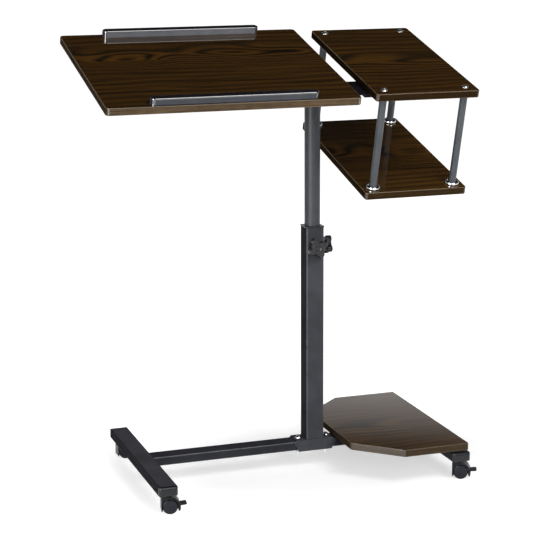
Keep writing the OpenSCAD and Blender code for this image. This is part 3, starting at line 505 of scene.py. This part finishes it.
# Stop rails: straight bars with half-round ends
RAIL_FOOT_R, RAIL_TOP_R, RAIL_STEPS = 0.2 * MM, 3 * MM, 6
# The rear rail's face is painted lighter than the front's, as painted light
RAIL_FACES = {"front_stop_rail": "rail_face", "rear_stop_rail": "rear_rail_face"}
for node, rail_face in RAIL_FACES.items():
    low, high = local_box(node, top)
    centre = (low + high) / 2
    depth = high.y - low.y
    outline = rounded_outline(high.x - low.x, depth, depth / 2 - 0.05 * MM, 12)
    bm = bmesh.new()
    rings = rounded_rings(outline, 0, high.z - low.z, RAIL_FOOT_R, RAIL_TOP_R, RAIL_STEPS)
    skin(bm, rings, caps=(FACE, FACE), side=EDGE, trim=(RAIL_STEPS + 1, ARRIS))
    shine_corners(bm, ARRIS, 0.5)
    # End walls get a finish painted lighter, as painted light
    for wall in bm.faces:
        if wall.material_index == EDGE and abs(wall.normal.x) > 0.5:
            wall.material_index = RAIL_END
    place = top @ Matrix.Translation((centre.x, centre.y, low.z))
    slots = ("gloss_black", rail_face, "rail_shine", "rail_end")
    dress(make(node + "_piece", bm, place), node, slots=slots)

# Base board
BASE_CUT = (86 * MM, 81 * MM)
BASE_RADII = [12 * MM] + 4 * [4 * MM] + [12 * MM]
low, high = local_box("base_board", column)
corners = [Vector(p) for p in (
    (low.x, low.y + BASE_CUT[1]), (low.x + BASE_CUT[0], low.y), (high.x, low.y), (high.x, high.y),
    (low.x + BASE_CUT[0], high.y), (low.x, high.y - BASE_CUT[1]))]
middle = Vector(((low.x + high.x) / 2, (low.y + high.y) / 2))
# Its arris and cut corners are painted lighter: a painted highlight and sheen
board("base_board", rounded_polygon([c - middle for c in corners], BASE_RADII), high.z - low.z,
      column @ Matrix.Translation((middle.x, middle.y, high.z)),
      ("base_wood", "base_edge", "arris", "corner_edge", "backing"))

# Posts of the side shelf
POSTS = [f"post_{place}" for place in ("front_left", "front_right", "back_left", "back_right")]
post_places = []
for node in POSTS:
    low, high = local_box(node, top)
    centre = (low + high) / 2
    post_places.append((centre.x, centre.y))
    post_r, post_h = (high.x - low.x) / 2, high.z - low.z
    bm = bmesh.new()
    lathe(bm, [(0, 0), (post_r - EDGE_R, 0), (post_r, EDGE_R), (post_r, post_h - EDGE_R),
               (post_r - EDGE_R, post_h), (0, post_h)])
    dress(make(node + "_piece", bm, top @ Matrix.Translation((centre.x, centre.y, low.z))), node)

# Post cups: shares of their radius and height up the outside and over the rim, then down to the post
CUP_R = 14 * MM
CUP_SHAPE = (
    (0.0, 0.0), (0.86, 0.0), (0.95, 0.12), (1.0, 0.36), (1.0, 0.48), (0.98, 0.7), (0.93, 0.88), (0.87, 0.98),
    (0.81, 1.0), (0.77, 0.93), (0.69, 0.6))
low, high = local_box("post_cups", top)
cup_h = high.z - low.z
cup_profile = [(r * CUP_R, z * cup_h) for r, z in CUP_SHAPE]
cup_profile += [(post_r + 0.8 * MM, 0.42 * cup_h), (post_r + 0.2 * MM, 0.4 * cup_h), (0, 0.4 * cup_h)]
bm = bmesh.new()
for x, y in post_places:
    lathe(bm, cup_profile, Matrix.Translation((x, y, 0)))
dress(make("post_cups_piece", bm, top @ Matrix.Translation((0, 0, low.z))), "post_cups")

# Dome screws on the upper shelf
DOME_R, DOME_RIM, DOME_SHANK_R = 7 * MM, 0.4 * MM, 3 * MM
DOME_STEPS = 8


def dome_screw(bm, height, shank_l, matrix):
    """Oval head with a recess in its middle, and a shank hidden below z = 0."""
    ball = (DOME_R * DOME_R + height * height) / (2 * height)
    profile = [(0, -shank_l), (DOME_SHANK_R, -shank_l), (DOME_SHANK_R, 0), (DOME_R, 0), (DOME_R, DOME_RIM)]
    for k in range(1, DOME_STEPS):
        z = DOME_RIM + (height - DOME_RIM) * math.sin(math.pi / 2 * k / DOME_STEPS)
        r = math.sqrt(max(ball * ball - (z + ball - height) ** 2, 0))
        profile.append((min(r, DOME_R), z))
    profile += [(1.9 * MM, height - 0.25 * MM), (1.5 * MM, height - 1.1 * MM), (0, height - 1.5 * MM)]
    lathe(bm, profile, matrix, 40)


low, high = local_box("shelf_top_screws", top)
bm = bmesh.new()
for x, y in post_places:
    dome_screw(bm, high.z, -low.z, Matrix.Translation((x, y, 0)))
dress(make("shelf_top_screws_piece", bm, top), "shelf_top_screws", slots=("screw_steel",))

# Inner tube
TUBE_WALL = 1.5 * MM
low, high = local_box("inner_tube", column)
tube_r = (high.x - low.x) / 2
bore_r = tube_r - TUBE_WALL
profile = [(bore_r, low.z), (tube_r - EDGE_R, low.z), (tube_r, low.z + EDGE_R), (tube_r, high.z - EDGE_R),
           (tube_r - EDGE_R, high.z), (bore_r, high.z), (bore_r, low.z)]
bm = bmesh.new()
skin(bm, [ring(r, z, 64) for r, z in profile], caps=(None, None))
# A darker copy of the grey paint: painted shade under the main board
dress(make("inner_tube_piece", bm, column), "inner_tube", slots=("tube_paint",))

# Foot caps, whose outer edges are well rounded
CAP_T, CAP_ROUND, CAP_CORNER_R, CAP_STEPS = 8 * MM, 6 * MM, 2.5 * MM, 6
low, high = local_box("foot_end_caps", column)
foot_x = joints["front_right_caster_swivel"]["pos_m"][0] - column.translation.x
foot_w, foot_h = 2 * (high.x - foot_x), high.z - low.z
cap_rings = [lift(rounded_outline(foot_w, foot_h, CAP_CORNER_R), 0)]
for k in range(CAP_STEPS + 1):
    a = math.pi / 2 * k / CAP_STEPS
    off = CAP_ROUND * (1 - math.cos(a))
    outline = rounded_outline(foot_w - 2 * off, foot_h - 2 * off, CAP_CORNER_R + 0.25 * off)
    cap_rings.append(lift(outline, CAP_T - CAP_ROUND * (1 - math.sin(a))))
bm = bmesh.new()
for x in (low.x + foot_w / 2, high.x - foot_w / 2):
    for y, turn in ((low.y, 90), (high.y, -90)):
        place = Matrix.Translation((x, y + math.copysign(CAP_T, -y), (low.z + high.z) / 2))
        skin(bm, cap_rings, place @ Matrix.Rotation(math.radians(turn), 4, "X"))
dress(make("foot_end_caps_piece", bm, column), "foot_end_caps")

# Clamp knobs: a hub and a head with round lobes, whose rims are well rounded
KNOB_R, KNOB_TURN = 21.5 * MM, math.radians(27)
KNOB_BACK_R, KNOB_FRONT_R, KNOB_STEPS = 1.2 * MM, 2.2 * MM, 6
HUB_R, HUB_L, DISH_R, DISH_T = 8.5 * MM, 4 * MM, 6.4 * MM, 1.5 * MM
# Shares of the knob's radius
LOBE_TIP, WAIST, SCALLOP, DISC = 0.33, 0.6, 0.38, 0.82


def lobed_outline(radius, turn, count=160):
    """Outline of four lobes with round tips and scallops between them, a point for each angle."""
    tip, scallop = LOBE_TIP * radius, SCALLOP * radius
    tip_place, scallop_place = radius - tip, WAIST * radius + scallop
    points = []
    for k in range(count):
        a = 2 * math.pi * k / count
        from_tip = (a + math.pi / 4) % (math.pi / 2) - math.pi / 4
        reach = DISC * radius
        inside = tip ** 2 - (tip_place * math.sin(from_tip)) ** 2
        if inside > 0:
            reach = max(reach, tip_place * math.cos(from_tip) + math.sqrt(inside))
        from_waist = abs(from_tip) - math.pi / 4
        inside = scallop ** 2 - (scallop_place * math.sin(from_waist)) ** 2
        if inside > 0:
            reach = min(reach, scallop_place * math.cos(from_waist) - math.sqrt(inside))
        points.append(Vector((reach * math.cos(a + turn), reach * math.sin(a + turn))))
    return points


def clamp_knob(node, facing):
    """Knob along its own Z axis; facing turns that axis out of the tube."""
    spin = joints[node + "_turn"]
    axis = Vector(spin["axis"])
    corners = [axis.dot(v.co) for v in frame["nodes"][node].data.vertices]
    foot = Vector(spin["pos_m"]) + axis * (min(corners) - axis.dot(Vector(spin["pos_m"])))
    length = max(corners) - min(corners)
    outline = lobed_outline(KNOB_R, KNOB_TURN)
    bm = bmesh.new()
    lathe(bm, [(0, 0), (HUB_R, 0), (HUB_R, HUB_L + MM), (0, HUB_L + MM)])
    rings = [ring(0, HUB_L)]
    rings += rounded_rings(outline, HUB_L, length, KNOB_BACK_R, KNOB_FRONT_R, KNOB_STEPS)
    dish = ((DISH_R, length), (DISH_R - 0.6 * MM, length - 0.3 * MM), (DISH_R - 2 * MM, length - DISH_T))
    for r, z in dish:
        rings.append([Vector((p.x, p.y, 0)).normalized() * r + Vector((0, 0, z)) for p in outline])
    rings.append(ring(0, length - DISH_T))
    skin(bm, rings)
    dress(make(node + "_piece", bm, Matrix.Translation(foot) @ facing), node, slots=("knob_black",))


clamp_knob("front_knob", Matrix.Rotation(math.pi / 2, 4, "X"))
clamp_knob("side_knob", Matrix.Rotation(math.pi / 2, 4, "Z") @ Matrix.Rotation(math.pi / 2, 4, "X"))

# Nodes whose finish differs from their slot's: the arm parts in their own near-black, the feet and crossbar in
# lighter and darker copies of the black paint, as painted light and shade. Finishes of rounded edges: the black
# paints' edges shine differently, and the feet's edges are painted near-black, a painted dark line
FINISH = {"side_arm": "arm_black", "side_arm_bar": "arm_black", "tilt_bracket": "arm_black",
          "left_foot_tube": "foot_paint", "right_foot_tube": "foot_paint", "crossbar": "bar_paint"}
# The feet's rounded edges: painted near-black, a painted dark line between top and side
EDGE_FINISH = {"black_paint": "black_paint_edge", "bar_paint": "black_paint_edge", "foot_paint": "arm_black"}
SOFTENED_ANGLE = math.radians(28)


def softened(node, width=EDGE_R, segments=2):
    """Copy of a CAD node with its sharp edges rounded."""
    bm = bmesh.new()
    bm.from_mesh(frame["nodes"][node].data)
    bmesh.ops.remove_doubles(bm, verts=bm.verts, dist=1e-6)
    bmesh.ops.dissolve_limit(bm, angle_limit=math.radians(0.5), verts=bm.verts, edges=bm.edges)
    edges = [e for e in bm.edges if len(e.link_faces) == 2 and e.calc_face_angle(0) > SOFTENED_ANGLE]
    bmesh.ops.bevel(bm, geom=edges, offset=width, offset_type="OFFSET", segments=segments, profile=0.5,
                    affect="EDGES", clamp_overlap=True)
    finish = FINISH.get(node, slot_of[node])
    if finish in EDGE_FINISH:
        for face in bm.faces:
            face.material_index = int(max(abs(part) for part in face.normal) < 0.995)
    dress(make(node + "_piece", bm, sharp=50), node, slots=(finish, EDGE_FINISH.get(finish, finish)))


# Everything else keeps the shape of its solid, with its edges rounded
for node in frame["nodes"]:
    if frame["nodes"][node].hide_render:
        continue
    if node.startswith(("wheel", "brake_lever")):
        softened(node, 1.4 * MM, 4)
    else:
        softened(node)

# Floor: shaded near the cart, and plain white farther off for the camera, for mirrors and for glass
FLOOR_SIZE = 80
FLOOR_TONES = ((0.3, 0.63), (0.7, 0.66))
# Distances from the cart between which the floor whitens, and its glow at both
FLOOR_NEAR_FAR = (0.3, 0.7)
FLOOR_SEEN = (0.57, 1.0)
floor = Finish("floor_white", Roughness=0.9)
floor.set(floor.shader.inputs["Base Color"], floor.ramp(floor.noise(floor.place, 0.6), FLOOR_TONES))
rays = floor.add("ShaderNodeLightPath").outputs
mirrored = floor.calc("MAXIMUM", rays["Is Glossy Ray"], rays["Is Transmission Ray"])
seen = floor.calc("MAXIMUM", rays["Is Camera Ray"], mirrored)
floor_place = floor.stretch((1, 1.7, 1), (-0.15, 0, 0))
distance = floor.add("ShaderNodeVectorMath", {0: floor_place}, operation="LENGTH").outputs["Value"]
glow = floor.calc("MULTIPLY", seen, floor.span(distance, *FLOOR_NEAR_FAR, *FLOOR_SEEN))
floor.set(floor.shader.inputs["Emission Strength"], glow)
floor.set(floor.shader.inputs["Emission Color"], grey(1))
bm = bmesh.new()
half = FLOOR_SIZE / 2
floor_corners = ((-half, -half, 0), (half, -half, 0), (half, half, 0), (-half, half, 0))
bm.faces.new([bm.verts.new(p) for p in floor_corners])
ground = make("floor", bm)
ground.data.materials.append(floor.material)

# World: pale near the horizon and dark overhead, so the boards mirror a dark ceiling; white for the camera.
# Each stop is the sine of the height above the horizon, and a level.
SKY = ((0.0, 0.6), (0.24, 0.72), (0.279, 0.75), (0.31, 0.03), (0.5, 0.012))
world = bpy.data.worlds.new("studio")
scene.world = world
sky = Tree(world)
direction = sky.add("ShaderNodeTexCoord").outputs["Generated"]
upwards = sky.add("ShaderNodeSeparateXYZ", {0: direction}).outputs["Z"]
camera_ray = sky.add("ShaderNodeLightPath").outputs["Is Camera Ray"]
backdrop = sky.mix(camera_ray, sky.ramp(upwards, SKY), grey(1))
sky.set(sky.tree.nodes["Background"].inputs["Color"], backdrop)


# Lamps
def area_light(name, place, target, size, power, seen_in=("diffuse", "glossy")):
    """Rectangular lamp of a power in watts, aimed at a target."""
    data = bpy.data.lights.new(name, "AREA")
    data.shape = "RECTANGLE"
    data.size, data.size_y = size
    data.energy = power
    light = bpy.data.objects.new(name, data)
    scene.collection.objects.link(light)
    light.visible_diffuse = "diffuse" in seen_in
    light.visible_glossy = "glossy" in seen_in
    aim = (Vector(target) - Vector(place)).to_track_quat("-Z", "Y").to_matrix().to_4x4()
    light.matrix_world = Matrix.Translation(place) @ aim


area_light("key_light", (0.85, -2.3, 2.9), (0, 0, 0.4), (1.8, 1.4), 66)
area_light("front_fill", (-0.2, -3.6, 1.6), (0.1, 0, 0.5), (2.2, 1.4), 62, seen_in=("diffuse",))
area_light("rear_fill", (0.8, 3.0, 2.4), (0, 0, 0.5), (2.2, 1.6), 14, seen_in=("diffuse",))
area_light("side_strip", (-1.74, -1.54, 1.1), (0.1, 0, 0.6), (0.8, 2.0), 110, seen_in=("glossy",))
